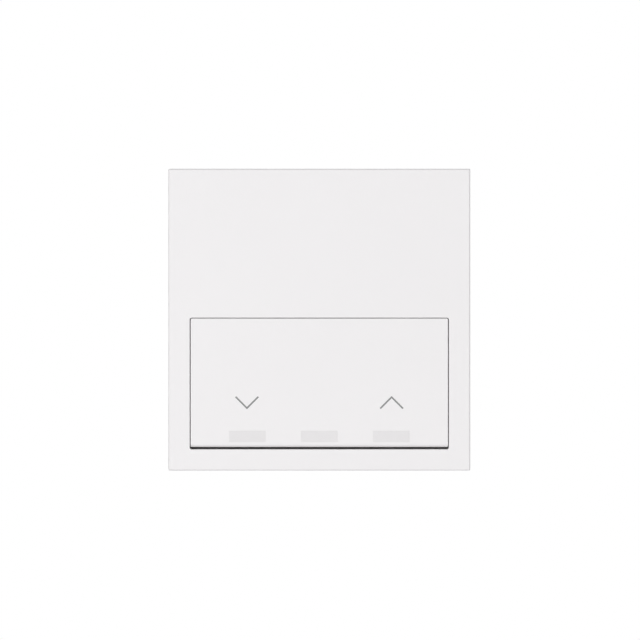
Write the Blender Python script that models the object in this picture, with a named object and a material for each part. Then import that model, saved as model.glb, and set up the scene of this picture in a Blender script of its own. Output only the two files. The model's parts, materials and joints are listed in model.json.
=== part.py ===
# Flush-mounted electronic roller shutter switch with one rocking key for down and up.
#
# Metres. X runs to the right, Y into the wall and Z up. The wall's surface is Y = 0 and the
# centre of the wall box is X = Z = 0, so everything that shows in the room has a negative Y.

import math

import bmesh
import bpy
from mathutils import Matrix, Vector

# Clearances
SEAT_GAP = 0.0003          # between a piece and what it rests on
SLIDE_GAP = 0.0002         # round a stem, a shank or a solder tail in its hole
PIVOT_GAP = 0.0001         # round a pivot pin
EMBED = 0.0003             # how deep a rib or a boss is rooted in its wall
OVERCUT = 0.0010           # how far a cutter runs past the wall that it opens

# Cover plate
PLATE_SIDE = 0.0900
PLATE_WALL = 0.0020
PLATE_DRAFT = 0.0003       # each side stands in by this much at the wall
PLATE_CORNER_RADIUS = 0.0004
PLATE_EDGE_RADIUS = 0.0003
PLATE_RIB = 0.0010
PLATE_RIB_DEPTH = 0.0012
PLATE_RIB_X = 0.0142
PLATE_RIB_Z = 0.0225
COLLAR_WALL = 0.0014
COLLAR_DEPTH = 0.0060      # front face to the collar's rear edge
OPENING_EDGE = 0.0001
LEDGE_REACH = 0.0008       # snap ledges on the inside of the plate's walls
LEDGE_LENGTH = 0.0080
LEDGE_HEIGHT = 0.0009
LEDGE_OFFSET = 0.0220

# Key
KEY_INSET = 0.00662        # plate's sides to the key's sides
KEY_BOTTOM_INSET = 0.00699
KEY_TOP = 0.0004           # the key's top edge above the centre of the box
KEY_TOP_GAP = 0.00016
KEY_SIDE_GAP = 0.00023     # the sides come 0.12 nearer when the key is tilted
KEY_BOTTOM_GAP = 0.00063   # room for a fingernail under the key
KEY_CORNER_RADIUS = 0.0004
KEY_EDGE_RADIUS = 0.00015
KEY_CHIN_RADIUS = 0.0009   # the long rounded edge along the bottom
KEY_FACE = 0.0018
KEY_SKIRT = 0.0010
KEY_DEPTH = 0.0050
KEY_RIB = 0.0010
KEY_RIB_DEPTH = 0.0008
KEY_RIB_X = 0.0100
KEY_RIB_INSETS = (0.0103, 0.00657)    # from the key's top and from its bottom
PAD_RADIUS = 0.0028        # pads on the key that push the stems
PAD_LENGTH = 0.0007

# Light windows in the key
WINDOW_WIDTH = 0.0109
WINDOW_HEIGHT = 0.00335
WINDOW_RISE = 0.00321      # key's bottom edge to the windows' middle
WINDOW_INSET = 0.01693     # key's side to the middle of the outer windows
WINDOW_FIT = 0.00005
WINDOW_FLANGE = 0.0010     # the flange reaches past the window at its ends and top
WINDOW_FLANGE_DEPTH = 0.0008

# Pivot of the key
PIVOT_DEPTH = 0.0048       # behind the key's face
PIVOT_INSETS = (0.0053, 0.01045)      # from the key's top and from its bottom
PIN_RADIUS = 0.0010
EAR_RADIUS = 0.0020
EAR_THICKNESS = 0.0024
FORK_EAR = 0.0020

# Carrier frame
CARRIER_FLOOR = 0.0014
CARRIER_RIM = 0.0014
CARRIER_CORNER_RADIUS = 0.0010
BACK_BAR_SHARES = (0.68, 0.80)        # a bar's sides, on the way from the support plate to the rim
BACK_BAR_HEIGHT = 0.0011
BACK_RIB_SHARE = 0.08      # where the ribs start on that way
BACK_RIB = 0.0008
BACK_RIB_HEIGHT = 0.0008
BACK_RIBS = 7              # on each side
BACK_RIB_PITCH = 0.0098
CROSS_WALL = 0.0012
GRID_RIB = 0.0010
GRID_RIB_HEIGHT = 0.0026
GRID_RIB_X = 0.0260
GRID_RIB_Z = 0.0215
STAKE_RADIUS = 0.0012
STAKE_HEAD_RADIUS = 0.0019
STAKE_HEAD_HEIGHT = 0.0008
STAKE_INSET = 0.0030       # from the control board's sides
STAKE_INSETS = (0.0035, 0.0037)       # from the board's top and from its bottom
HOOK_X = 0.0120
HOOK_CLEARANCE = 0.0010    # past the housing's side
HOOK_WIDTH = 0.0044
HOOK_THICKNESS = 0.0012
HOOK_BARB = 0.0007
HOOK_REACH = 0.0016        # behind the support plate

# Control board with its switches, lights and controller
BOARD_THICKNESS = 0.0010
BOARD_SIDE_ROOM = 0.00135  # inside the key's skirt
BOARD_DROP = 0.0098        # key's top to the board's top
BOARD_RISE = 0.00075       # key's bottom to the board's bottom
BOARD_CORNER_RADIUS = 0.0010
SWITCH_INSET = 0.0145      # from the board's sides
SWITCH_DROP = 0.0012       # below the key's middle
SWITCH_SIDE = 0.0062
SWITCH_HEIGHT = 0.0028
SWITCH_CHAMFER = 0.0005
STEM_RADIUS = 0.0016
STEM_PROUD = 0.0009
STEM_GUIDED = 0.0014       # length of the stem inside its switch
STEM_TRAVEL = 0.0006
LED_WIDTH = 0.0035
LED_HEIGHT = 0.0028
LED_DEPTH = 0.0019
CHIP_SIDE = 0.0070
CHIP_HEIGHT = 0.0012
CHIP_INSET = 0.0020        # from the board's top

# Header between the two boards
HEADER_INSET = 0.0080      # from the housing's lower side
HEADER_PITCH = 0.00254
HEADER_COLUMNS = 5
HEADER_ROWS = 2
HEADER_BASE = 0.0025
PIN_SIDE = 0.00064
PIN_ENGAGED = 0.0030

# Support plate
SUPPORT_BORDER = 0.0115    # past the housing's sides
SUPPORT_THICKNESS = 0.0012
SUPPORT_CORNER_RADIUS = 0.0040
SUPPORT_OPENING_ROOM = 0.0008         # round the lid
SLOT_INSET = 0.0045        # support plate's edge to the slots, which puts them 60 mm apart
SLOT_WIDTH = 0.0037
SLOT_LENGTH = 0.0065
SEAT_WIDTH = 0.0076        # pressed-up seats under the box screws' heads
SEAT_LENGTH = 0.0104
SEAT_RISE = 0.0003
NAIL_HOLE_RADIUS = 0.0016  # for plaster screws, one hole in each corner
NAIL_HOLE_INSET = 0.0060
HEAD_ROOM_WIDTH = 0.0086
HEAD_ROOM_LENGTH = 0.0114
HEAD_ROOM_DEPTH = 0.0026   # in front of the support plate
HEAD_ROOM_WALL = 0.0008

# Insert housing behind the support plate
HOUSING_DEPTH = 0.0300     # wall to the rear face
HOUSING_CUT = 0.0080
HOUSING_WALL = 0.0015
HOUSING_ROW_ROOM = 0.0010  # beside the row of terminals, before the cut corners start
HOUSING_REAR_CHAMFER = 0.0008
HOUSING_DRAFT = 0.0005
FLANGE_CUT = 0.0050
FLANGE_DEPTH = 0.0047
FLANGE_STEP = 0.0003       # the body's sides stand in from the flange's
HOUSING_LEDGE = 0.0015
HOUSING_LEDGE_LENGTH = 0.0120
LID_CORNER_ROOM = 0.0015
LID_THICKNESS = 0.0020
LID_SKIRT = 0.0010
LID_SKIRT_DEPTH = 0.0039
FIXING_INSET = 0.0037      # housing screws, from its two sides
FIXING_RADIUS = 0.0011
FIXING_HEAD_RADIUS = 0.0021
FIXING_HEAD_HEIGHT = 0.0009
FIXING_LENGTH = 0.0055

# Power board and what stands on it
POWER_BOARD_ROOM = 0.0006
POWER_BOARD_CORNER_ROOM = 0.0007
POWER_BOARD_THICKNESS = 0.0012
PART_GAP = 0.0010          # between neighbours on the board
RELAY_SIZE = (0.0072, 0.0125, 0.0200)
RELAY_INSETS = (0.0015, 0.0089)       # from the board's left side and from its top
TRANSFORMER_CORE = (0.0105, 0.0032, 0.0120)
TRANSFORMER_COIL = (0.0078, 0.0090, 0.0072)
TRANSFORMER_INSET = 0.0024
FILM_SIZE = (0.0050, 0.0110, 0.0130)
CAN_RADIUS = 0.0040
CAN_HEIGHT = 0.0120
VARISTOR_RADIUS = 0.0043
VARISTOR_THICKNESS = 0.0034
FUSE_RADIUS = 0.0018
FUSE_LENGTH = 0.0090

# Terminals along the bottom of the insert
TERMINALS = 4
CAGE_INSETS = (0.0070, 0.0045)        # cage's middle from the housing's rear and from its lower wall
CAGE_DEPTH = 0.0080
CAGE_HEIGHT = 0.0076
CAGE_WALL = 0.0012
TAIL_WIDTH = 0.0010
TAIL_THICKNESS = 0.0006
CLAMP_RADIUS = 0.0014
CLAMP_HEAD_RADIUS = 0.0023
CLAMP_HEAD_HEIGHT = 0.0016
CLAMP_LENGTH = 0.0060
DRIVE_WIDTH = 0.0007
DRIVE_DEPTH = 0.0007
WIRE_RADIUS = 0.0018
FUNNEL_RADIUS = 0.0025
ACCESS_RADIUS = 0.0027
PARTITION = 0.0008
PARTITION_DEPTH = 0.0105
BAY_ROOM = 0.0010

# Facets
ARC_STEPS = 4
ROUND_STEPS = 24
SHARP_ANGLE = math.radians(35)

# Layers, from the wall to the room
support_front = -SUPPORT_THICKNESS
carrier_back = support_front - SEAT_GAP
carrier_front = carrier_back - CARRIER_FLOOR
board_back = carrier_front - SEAT_GAP
board_front = board_back - BOARD_THICKNESS
board_seat = board_front - SEAT_GAP
switch_top = board_seat - SWITCH_HEIGHT
stem_tip = switch_top - STEM_PROUD
pad_end = stem_tip - SEAT_GAP
key_back_of_face = pad_end - PAD_LENGTH
plate_front = key_back_of_face - KEY_FACE
plate_back_of_face = plate_front + PLATE_WALL
rim_front = plate_back_of_face + SEAT_GAP
pivot_y = plate_front + PIVOT_DEPTH

# Layers, from the wall into the box
lid_back = support_front + LID_THICKNESS
power_board_front = lid_back + LID_SKIRT_DEPTH + SEAT_GAP
power_board_back = power_board_front + POWER_BOARD_THICKNESS
power_seat = power_board_back + SEAT_GAP
pins_base_back = power_board_front - SEAT_GAP
pins_base_front = pins_base_back - HEADER_BASE
socket_back = pins_base_front - SEAT_GAP
pins_tip = socket_back - PIN_ENGAGED
housing_inner_back = HOUSING_DEPTH - HOUSING_WALL

# Key, its opening and its pivot
key_width = PLATE_SIDE - 2 * KEY_INSET
key_bottom = KEY_BOTTOM_INSET - PLATE_SIDE / 2
key_height = KEY_TOP - key_bottom
key_middle = KEY_TOP - key_height / 2
key_rib_zs = (KEY_TOP - KEY_RIB_INSETS[0], key_bottom + KEY_RIB_INSETS[1])
pivot_zs = (KEY_TOP - PIVOT_INSETS[0], key_bottom + PIVOT_INSETS[1])
opening_width = key_width + 2 * KEY_SIDE_GAP
opening_top = KEY_TOP + KEY_TOP_GAP
opening_bottom = key_bottom - KEY_BOTTOM_GAP
opening_height = opening_top - opening_bottom
opening_middle = (opening_top + opening_bottom) / 2
opening_radius = KEY_CORNER_RADIUS + KEY_TOP_GAP
window_x = key_width / 2 - WINDOW_INSET
window_z = key_bottom + WINDOW_RISE

# Carrier and control board
plate_inside = PLATE_SIDE - 2 * PLATE_WALL
carrier_side = plate_inside - 2 * SEAT_GAP
cross_wall_bottom = opening_top + COLLAR_WALL + SEAT_GAP
cross_wall_top = cross_wall_bottom + CROSS_WALL
fork_gap = EAR_THICKNESS + 2 * SEAT_GAP
fork_span = fork_gap + 2 * FORK_EAR
fork_slot_width = 2 * EAR_RADIUS + 4 * SEAT_GAP
board_width = key_width - 2 * (KEY_SKIRT + BOARD_SIDE_ROOM)
board_top = KEY_TOP - BOARD_DROP
board_bottom = key_bottom + BOARD_RISE
stake_x = board_width / 2 - STAKE_INSET
stake_zs = (board_top - STAKE_INSETS[0], board_bottom + STAKE_INSETS[1])
switch_x = board_width / 2 - SWITCH_INSET
switch_z = key_middle - SWITCH_DROP
chip_x = fork_slot_width / 2 + CHIP_SIDE / 2 + 2 * SEAT_GAP
chip_z = board_top - CHIP_INSET - CHIP_SIDE / 2

# Terminals, and the housing that is as wide as their row
cage_width = 2 * (CLAMP_RADIUS + SLIDE_GAP + CAGE_WALL)
terminal_pitch = cage_width + 2 * SEAT_GAP + PARTITION
terminal_row = TERMINALS * terminal_pitch
terminal_xs = [terminal_pitch * (i - (TERMINALS - 1) / 2) for i in range(TERMINALS)]
housing_side = terminal_row + 2 * (HOUSING_CUT + HOUSING_ROW_ROOM)
housing_inner = housing_side - 2 * HOUSING_WALL
body_side = housing_side - 2 * FLANGE_STEP
body_cut = HOUSING_CUT - FLANGE_STEP * (2 - math.sqrt(2))
housing_inner_cut = HOUSING_CUT - HOUSING_WALL * (2 - math.sqrt(2))
terminal_y = HOUSING_DEPTH - CAGE_INSETS[0]
terminal_z = CAGE_INSETS[1] - housing_inner / 2
bay_top = terminal_z + CAGE_HEIGHT / 2 + BAY_ROOM

# What lines up with the housing
lid_side = housing_inner - 2 * SEAT_GAP
lid_cut = housing_inner_cut + LID_CORNER_ROOM
fixing_xz = housing_side / 2 - FIXING_INSET
fixing_signs = {"upper_left": (-1, 1), "upper_right": (1, 1), "lower_left": (-1, -1), "lower_right": (1, -1)}
hook_z = housing_side / 2 + HOOK_CLEARANCE
header_z = HEADER_INSET - housing_side / 2
header_width = HEADER_PITCH * HEADER_COLUMNS
header_height = HEADER_PITCH * HEADER_ROWS
support_side = housing_side + 2 * SUPPORT_BORDER
slot_centre = support_side / 2 - SLOT_INSET

# Places on the power board, each from its neighbour
power_board_side = housing_inner - 2 * POWER_BOARD_ROOM
power_board_cut = housing_inner_cut + POWER_BOARD_CORNER_ROOM
power_half = power_board_side / 2
relay_left = RELAY_INSETS[0] - power_half + RELAY_SIZE[0] / 2
relay_xs = [relay_left, relay_left + RELAY_SIZE[0] + PART_GAP]
relay_z = power_half - RELAY_INSETS[1] - RELAY_SIZE[2] / 2
relays_right = relay_xs[1] + RELAY_SIZE[0] / 2
relays_top = relay_z + RELAY_SIZE[2] / 2
transformer_x = relays_right + 2 * PART_GAP + TRANSFORMER_CORE[0] / 2
transformer_z = power_half - TRANSFORMER_INSET - TRANSFORMER_CORE[2] / 2
transformer_bottom = transformer_z - TRANSFORMER_CORE[2] / 2
film_x = relays_right + PART_GAP + FILM_SIZE[0] / 2
film_z = transformer_bottom - PART_GAP - FILM_SIZE[2] / 2
can_x = film_x + FILM_SIZE[0] / 2 + PART_GAP + CAN_RADIUS
can_z = transformer_bottom - PART_GAP - CAN_RADIUS
varistor_z = can_z - CAN_RADIUS - PART_GAP - VARISTOR_THICKNESS / 2
varistor_x = film_x + FILM_SIZE[0] / 2 + PART_GAP + VARISTOR_RADIUS
fuse_x = relays_right - FUSE_LENGTH / 2
fuse_z = relays_top + PART_GAP + FUSE_RADIUS


# Outlines, as (x, z) points that run round once

def rounded_outline(width, height, radius, centre=(0.0, 0.0)):
    points = []
    for quarter, (sx, sz) in enumerate(((1, 1), (-1, 1), (-1, -1), (1, -1))):
        corner = Vector((sx * (width / 2 - radius), sz * (height / 2 - radius)))
        for step in range(ARC_STEPS + 1):
            angle = math.pi / 2 * (quarter + step / ARC_STEPS)
            points.append(Vector(centre) + corner + radius * Vector((math.cos(angle), math.sin(angle))))
    return points


def rectangle_outline(width, height, centre=(0.0, 0.0)):
    signs = ((1, 1), (-1, 1), (-1, -1), (1, -1))
    return [Vector(centre) + Vector((sx * width / 2, sz * height / 2)) for sx, sz in signs]


def cut_corner_outline(side, cut):
    half = side / 2
    corners = ((half, half - cut), (half - cut, half))
    points = []
    for quarter in range(4):
        turn = Matrix.Rotation(math.pi / 2 * quarter, 2)
        points += [turn @ Vector(corner) for corner in corners]
    return points


def stadium_outline(width, length, centre, upright):
    size = (width, length) if upright else (length, width)
    return rounded_outline(size[0], size[1], width / 2 - 0.00001, centre)


# Solids, each a bmesh

def loft(sections):
    """A closed solid through (outline, y) sections that all have the same number of points."""
    shape = bmesh.new()
    rings = [[shape.verts.new((p.x, y, p.y)) for p in outline] for outline, y in sections]
    for near, far in zip(rings, rings[1:]):
        for i in range(len(near)):
            j = (i + 1) % len(near)
            shape.faces.new((near[i], near[j], far[j], far[i]))
    shape.faces.new(rings[0])
    shape.faces.new(rings[-1])
    return shape


def prism(outline, start, end):
    return loft([(outline, start), (outline, end)])


def soft_slab(width, height, radius, centre, front, back, edge, draft=0.0):
    """A rounded slab whose front edge is rounded over and whose sides may stand in at the back."""
    sections = []
    for step in range(ARC_STEPS + 1):
        angle = math.pi / 2 * step / ARC_STEPS
        inset = edge * (1 - math.sin(angle))
        corner = max(radius - inset, radius / 4)
        outline = rounded_outline(width - 2 * inset, height - 2 * inset, corner, centre)
        sections.append((outline, front + edge * (1 - math.cos(angle))))
    sections.append((rounded_outline(width - 2 * draft, height - 2 * draft, radius, centre), back))
    return loft(sections)


def block(x, y, z):
    """A box between the two values given for each axis."""
    shape = bmesh.new()
    low = Vector((min(x), min(y), min(z)))
    size = Vector((max(x), max(y), max(z))) - low
    bmesh.ops.create_cube(shape, size=1.0)
    shape.transform(Matrix.Translation(low + size / 2) @ Matrix.Diagonal(size.to_4d()))
    return shape


def box_at(centre, size):
    return block(*[(c - s / 2, c + s / 2) for c, s in zip(centre, size)])


def side_prism(profile, start, end, axis):
    """A prism along X or Z. The profile's points are (z, y) for X and (x, y) for Z."""
    shape = bmesh.new()
    if axis == "X":
        points = [(start, y, a) for a, y in profile]
        along = Vector((end - start, 0, 0))
    else:
        points = [(a, y, start) for a, y in profile]
        along = Vector((0, 0, end - start))
    face = shape.faces.new([shape.verts.new(p) for p in points])
    grown = bmesh.ops.extrude_face_region(shape, geom=[face], use_keep_orig=True)
    tips = [v for v in grown["geom"] if isinstance(v, bmesh.types.BMVert)]
    bmesh.ops.translate(shape, verts=tips, vec=along)
    return shape


def turned(profile, centre, axis="Y", steps=ROUND_STEPS):
    """A (radius, distance) profile spun once round an axis through the centre."""
    shape = bmesh.new()
    rim = [shape.verts.new((radius, 0, distance)) for radius, distance in profile]
    edges = [shape.edges.new(pair) for pair in zip(rim, rim[1:])]
    bmesh.ops.spin(shape, geom=rim + edges, cent=(0, 0, 0), axis=(0, 0, 1), angle=2 * math.pi,
                   steps=steps, use_merge=True)
    bmesh.ops.remove_doubles(shape, verts=shape.verts, dist=1e-6)
    turns = {"X": Matrix.Rotation(math.pi / 2, 4, "Y"), "Y": Matrix.Rotation(-math.pi / 2, 4, "X"),
             "Z": Matrix.Identity(4)}
    shape.transform(Matrix.Translation(centre) @ turns[axis])
    return shape


def rod(centre, radius, start, end, axis="Y", steps=ROUND_STEPS):
    return turned([(0, start), (radius, start), (radius, end), (0, end)], centre, axis, steps)


def ear(root, tip, z_range):
    """A lug from a flat root to a round end about the pivot, which points from root to tip."""
    side = 1 if tip > root else -1
    profile = [(-EAR_RADIUS, root)]
    for step in range(2 * ARC_STEPS + 1):
        angle = math.pi * step / (2 * ARC_STEPS)
        profile.append((-EAR_RADIUS * math.cos(angle), tip + side * EAR_RADIUS * math.sin(angle)))
    profile.append((EAR_RADIUS, root))
    return side_prism(profile, z_range[0], z_range[1], "Z")


def gather(*shapes):
    """Several solids that don't touch each other, in one bmesh."""
    whole = bmesh.new()
    for shape in shapes:
        shape_mesh = bpy.data.meshes.new("gathered")
        bmesh.ops.recalc_face_normals(shape, faces=shape.faces)
        shape.to_mesh(shape_mesh)
        whole.from_mesh(shape_mesh)
        bpy.data.meshes.remove(shape_mesh)
    return whole


def quarter_turned(make):
    """The four copies of a shape round the Y axis."""
    shapes = []
    for quarter in range(4):
        shape = make()
        shape.transform(Matrix.Rotation(math.pi / 2 * quarter, 4, "Y"))
        shapes.append(shape)
    return gather(*shapes)


# Objects

def finish(name, colour, roughness, metallic=0.0):
    material = bpy.data.materials.new(name)
    material.use_nodes = True
    shader = material.node_tree.nodes["Principled BSDF"]
    shader.inputs["Base Color"].default_value = (*colour, 1.0)
    shader.inputs["Roughness"].default_value = roughness
    shader.inputs["Metallic"].default_value = metallic
    material.diffuse_color = (*colour, 1.0)
    return material


def new_object(name, shape, material=None, origin=(0.0, 0.0, 0.0), parent=None):
    mesh = bpy.data.meshes.new(name)
    bmesh.ops.recalc_face_normals(shape, faces=shape.faces)
    shape.transform(Matrix.Translation(-Vector(origin)))
    shape.to_mesh(mesh)
    shape.free()
    mesh.shade_smooth()
    mesh.set_sharp_from_angle(angle=SHARP_ANGLE)
    made = bpy.data.objects.new(name, mesh)
    bpy.context.scene.collection.objects.link(made)
    made.location = Vector(origin)
    if parent:
        made.parent = parent
        made.location = Vector(origin) - parent.location
    if material:
        mesh.materials.append(material)
    return made


def combine(part, operation, shape):
    tool = new_object(f"{part.name}_{operation.lower()}_{len(part.modifiers)}", shape)
    tool.hide_render = True
    tool.display_type = "WIRE"
    modifier = part.modifiers.new(operation.title(), "BOOLEAN")
    modifier.operation = operation
    modifier.object = tool
    modifier.solver = "EXACT"


def join(part, *shapes):
    for shape in shapes:
        combine(part, "UNION", shape)


def cut(part, *shapes):
    for shape in shapes:
        combine(part, "DIFFERENCE", shape)


# Front of the switch

def cover_plate(material):
    slab = soft_slab(PLATE_SIDE, PLATE_SIDE, PLATE_CORNER_RADIUS, (0, 0), plate_front, 0.0,
                     PLATE_EDGE_RADIUS, PLATE_DRAFT)
    plate = new_object("cover_plate", slab, material)
    inside = rounded_outline(plate_inside, plate_inside, PLATE_CORNER_RADIUS)
    cut(plate, prism(inside, plate_back_of_face, OVERCUT))

    collar = rounded_outline(opening_width + 2 * COLLAR_WALL, opening_height + 2 * COLLAR_WALL,
                             opening_radius + COLLAR_WALL, (0, opening_middle))
    join(plate, prism(collar, plate_back_of_face - EMBED, plate_front + COLLAR_DEPTH))

    rib_y = (plate_back_of_face - EMBED, plate_back_of_face + PLATE_RIB_DEPTH)
    rib_end = carrier_side / 2 - CARRIER_RIM - SEAT_GAP
    rib_z = (cross_wall_top + SEAT_GAP, rib_end)
    upright_ribs = [block((x - PLATE_RIB / 2, x + PLATE_RIB / 2), rib_y, rib_z)
                    for x in (-PLATE_RIB_X, PLATE_RIB_X)]
    join(plate, gather(*upright_ribs))
    join(plate, block((-rib_end, rib_end), rib_y, (PLATE_RIB_Z - PLATE_RIB / 2, PLATE_RIB_Z + PLATE_RIB / 2)))

    def ledge_pair():
        wall = plate_inside / 2
        front = carrier_back + SEAT_GAP
        ramp = [(wall + EMBED, front), (wall - LEDGE_REACH, front), (wall + EMBED, front + LEDGE_HEIGHT)]
        return gather(*[side_prism(ramp, z - LEDGE_LENGTH / 2, z + LEDGE_LENGTH / 2, "Z")
                        for z in (-LEDGE_OFFSET, LEDGE_OFFSET)])

    join(plate, quarter_turned(ledge_pair))

    def opening(grown):
        return rounded_outline(opening_width + 2 * grown, opening_height + 2 * grown,
                               opening_radius + grown, (0, opening_middle))

    cut(plate, loft([(opening(OPENING_EDGE + OVERCUT), plate_front - OVERCUT),
                     (opening(0), plate_front + OPENING_EDGE),
                     (opening(0), plate_front + COLLAR_DEPTH + OVERCUT)]))
    return plate


def chin_cutter():
    """What is taken off to round the key's bottom edge."""
    low, front, r = key_bottom, plate_front, KEY_CHIN_RADIUS
    arc = []
    for step in range(2 * ARC_STEPS + 1):
        angle = math.pi / 2 * step / (2 * ARC_STEPS)
        arc.append((low + r * (1 - math.sin(angle)), front + r * (1 - math.cos(angle))))
    profile = [(low - OVERCUT, front + r), (low - OVERCUT, front - OVERCUT), (low + r, front - OVERCUT)] + arc
    half = key_width / 2 + OVERCUT
    return side_prism(profile, -half, half, "X")


def rocker_key(material, axis):
    key = new_object("rocker_key", soft_slab(
        key_width, key_height, KEY_CORNER_RADIUS, (0, key_middle), plate_front, plate_front + KEY_DEPTH,
        KEY_EDGE_RADIUS), material, axis.location, axis)
    inner_width = key_width - 2 * KEY_SKIRT
    inner_height = key_height - 2 * KEY_SKIRT
    cut(key, prism(rectangle_outline(inner_width, inner_height, (0, key_middle)),
                   key_back_of_face, plate_front + KEY_DEPTH + OVERCUT))

    rib_y = (key_back_of_face - EMBED, key_back_of_face + KEY_RIB_DEPTH)
    half_width = inner_width / 2 + EMBED
    long_ribs = [block((-half_width, half_width), rib_y, (z - KEY_RIB / 2, z + KEY_RIB / 2))
                 for z in key_rib_zs]
    rib_zs = (KEY_TOP - KEY_SKIRT + EMBED, key_rib_zs[1])
    short_ribs = [block((x - KEY_RIB / 2, x + KEY_RIB / 2), rib_y, rib_zs) for x in (-KEY_RIB_X, KEY_RIB_X)]
    join(key, gather(*long_ribs), gather(*short_ribs))

    pad_y = (key_back_of_face - EMBED, pad_end)
    join(key, gather(*[rod((x, 0, switch_z), PAD_RADIUS, *pad_y) for x in (-switch_x, switch_x)]))

    half_ear = EAR_THICKNESS / 2
    ear_root = key_back_of_face - EMBED
    join(key, gather(*[ear(ear_root, pivot_y, (z - half_ear, z + half_ear)) for z in pivot_zs]))
    cut(key, gather(*[rod((0, pivot_y, z), PIN_RADIUS + PIVOT_GAP, -EAR_THICKNESS, EAR_THICKNESS, "Z")
                      for z in pivot_zs]))

    windows = [rectangle_outline(WINDOW_WIDTH, WINDOW_HEIGHT, (x, window_z))
               for x in (-window_x, 0.0, window_x)]
    through = (plate_front - OVERCUT, key_back_of_face + OVERCUT)
    cut(key, gather(*[prism(window, *through) for window in windows]))
    cut(key, chin_cutter())
    return key


def light_window(name, x, material, axis):
    pad = rectangle_outline(WINDOW_WIDTH - 2 * WINDOW_FIT, WINDOW_HEIGHT - 2 * WINDOW_FIT, (x, window_z))
    flange_front = key_back_of_face + SEAT_GAP
    window = new_object(name, prism(pad, plate_front, flange_front + EMBED), material, axis.location, axis)
    half = WINDOW_WIDTH / 2 + WINDOW_FLANGE
    low = window_z - WINDOW_HEIGHT / 2 + WINDOW_FIT
    high = window_z + WINDOW_HEIGHT / 2 + WINDOW_FLANGE
    join(window, block((x - half, x + half), (flange_front, flange_front + WINDOW_FLANGE_DEPTH), (low, high)))
    return window


def pivot_pin(name, z, material):
    half = fork_span / 2
    chamfer = PIN_RADIUS / 4
    profile = [(0, -half), (PIN_RADIUS - chamfer, -half), (PIN_RADIUS, chamfer - half),
               (PIN_RADIUS, half - chamfer), (PIN_RADIUS - chamfer, half), (0, half)]
    return new_object(name, turned(profile, (0, pivot_y, z), "Z"), material)


def fork(z):
    half_gap = fork_gap / 2
    half_span = fork_span / 2
    root = carrier_front + EMBED
    return gather(*[ear(root, pivot_y, (z + side * half_gap, z + side * half_span)) for side in (-1, 1)])


def stake(x, z):
    """A post through the control board, with its end formed over into a head."""
    head = board_front - SEAT_GAP
    top = head - STAKE_HEAD_HEIGHT
    profile = [(0, carrier_front + EMBED), (STAKE_RADIUS, carrier_front + EMBED), (STAKE_RADIUS, head),
               (STAKE_HEAD_RADIUS, head), (STAKE_HEAD_RADIUS, (head + top) / 2), (STAKE_RADIUS, top),
               (0, top)]
    return turned(profile, (x, 0, z), steps=ROUND_STEPS // 2)


def hook(side_x, side_z):
    """A leg through the support plate with a barb behind it."""
    x = side_x * HOOK_X
    inner = hook_z
    outer = hook_z + HOOK_THICKNESS
    tip = HOOK_REACH
    profile = [(inner, carrier_back - EMBED), (inner, tip), (outer, tip), (outer + HOOK_BARB, SEAT_GAP),
               (outer, SEAT_GAP), (outer, carrier_back - EMBED)]
    return side_prism([(side_z * z, y) for z, y in profile], x - HOOK_WIDTH / 2, x + HOOK_WIDTH / 2, "X")


def carrier_frame(material):
    outline = rounded_outline(carrier_side, carrier_side, CARRIER_CORNER_RADIUS)
    carrier = new_object("carrier_frame", prism(outline, rim_front, carrier_back), material)
    inner = carrier_side - 2 * CARRIER_RIM
    cut(carrier, prism(rectangle_outline(inner, inner), rim_front - OVERCUT, carrier_front))

    reach = inner / 2 + EMBED
    cross_wall_z = (cross_wall_bottom, cross_wall_top)
    join(carrier, block((-reach, reach), (rim_front, carrier_front + EMBED), cross_wall_z))
    grid_y = (carrier_front - GRID_RIB_HEIGHT, carrier_front + EMBED)
    uprights = [block((x - GRID_RIB / 2, x + GRID_RIB / 2), grid_y, (cross_wall_top - EMBED, reach))
                for x in (-GRID_RIB_X, 0.0, GRID_RIB_X)]
    join(carrier, gather(*uprights))
    join(carrier, block((-reach, reach), grid_y, (GRID_RIB_Z - GRID_RIB / 2, GRID_RIB_Z + GRID_RIB / 2)))

    half_support = support_side / 2
    back_room = carrier_side / 2 - half_support
    bar_z = [half_support + share * back_room for share in BACK_BAR_SHARES]
    rib_z = (half_support + BACK_RIB_SHARE * back_room, sum(bar_z) / 2)
    back_y = carrier_back - EMBED
    join(carrier, quarter_turned(lambda: block(
        (-half_support, half_support), (back_y, carrier_back + BACK_BAR_HEIGHT), bar_z)))
    rib_y = (back_y, carrier_back + BACK_RIB_HEIGHT)
    rib_xs = [BACK_RIB_PITCH * (i - (BACK_RIBS - 1) / 2) for i in range(BACK_RIBS)]
    join(carrier, quarter_turned(lambda: gather(*[
        block((x - BACK_RIB / 2, x + BACK_RIB / 2), rib_y, rib_z) for x in rib_xs])))

    join(carrier, gather(*[fork(z) for z in pivot_zs]))
    join(carrier, gather(*[stake(x, z) for x in (-stake_x, stake_x) for z in stake_zs]))
    join(carrier, gather(*[hook(sx, sz) for sx in (-1, 1) for sz in (-1, 1)]))
    room_end = support_front - HEAD_ROOM_DEPTH
    join(carrier, gather(*head_rooms(HEAD_ROOM_WALL, carrier_front + EMBED, room_end - HEAD_ROOM_WALL)))

    cut(carrier, gather(*[rod((0, pivot_y, z), PIN_RADIUS + PIVOT_GAP, -fork_span, fork_span, "Z")
                          for z in pivot_zs]))
    pockets = head_rooms(0, support_front + OVERCUT, room_end)
    header = rectangle_outline(header_width + 2 * SEAT_GAP, header_height + 2 * SEAT_GAP, (0, header_z))
    cut(carrier, gather(*pockets, prism(header, carrier_front - OVERCUT, carrier_back + OVERCUT)))
    return carrier


def head_rooms(grown, start, end):
    """The rooms over the box screws' heads, or the same shapes grown for the walls round them."""
    width = HEAD_ROOM_WIDTH + 2 * grown
    length = HEAD_ROOM_LENGTH + 2 * grown
    return [prism(stadium_outline(width, length, (x, z), upright), start, end)
            for x, z, upright in box_screw_places()[:3]]


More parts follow.
